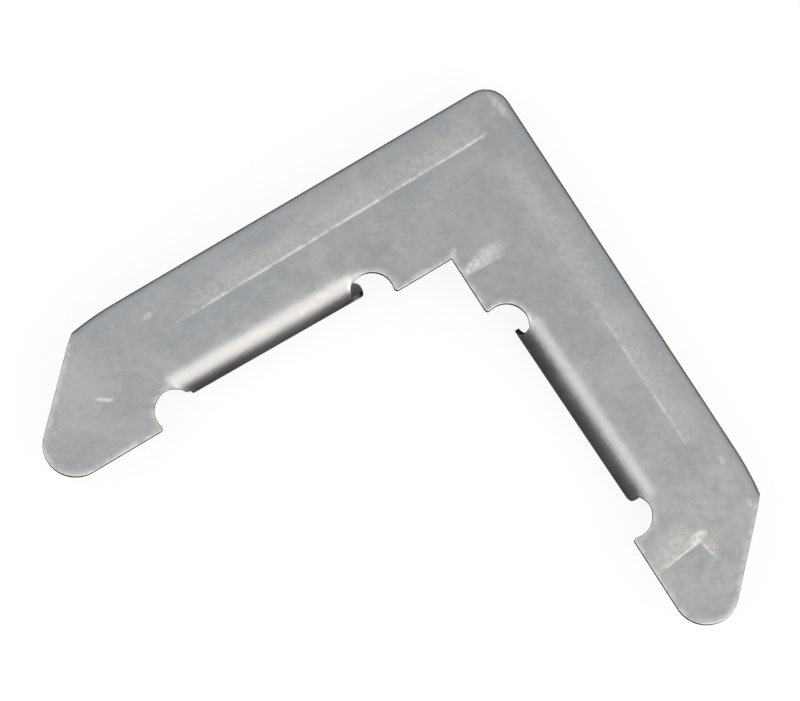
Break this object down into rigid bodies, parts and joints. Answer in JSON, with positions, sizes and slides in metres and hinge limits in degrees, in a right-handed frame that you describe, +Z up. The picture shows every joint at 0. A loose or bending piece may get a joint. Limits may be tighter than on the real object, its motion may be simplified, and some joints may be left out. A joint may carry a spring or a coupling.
{
  "type": "screen corner insert",
  "caption": "Flat L-shaped corner insert for a window screen frame, stamped and folded from sheet steel, with a folded outer wall, rolled spring tabs along the inner edges and pointed noses.",
  "frame": {"origin": "middle of the part's box in plan, at the height of the surface that it lies on", "axes": "+Z up, from the rest face to the flat plate; the legs run along +X and +Y from the outer corner, which lies toward -X and -Y"},
  "size_m": [0.07, 0.07, 0.0069],
  "materials": {
    "steel": "galvanised, satin grey with a faint mottle"
  },
  "bodies": {
    "root": {"corner_insert": "steel"}
  },
  "joints": []
}
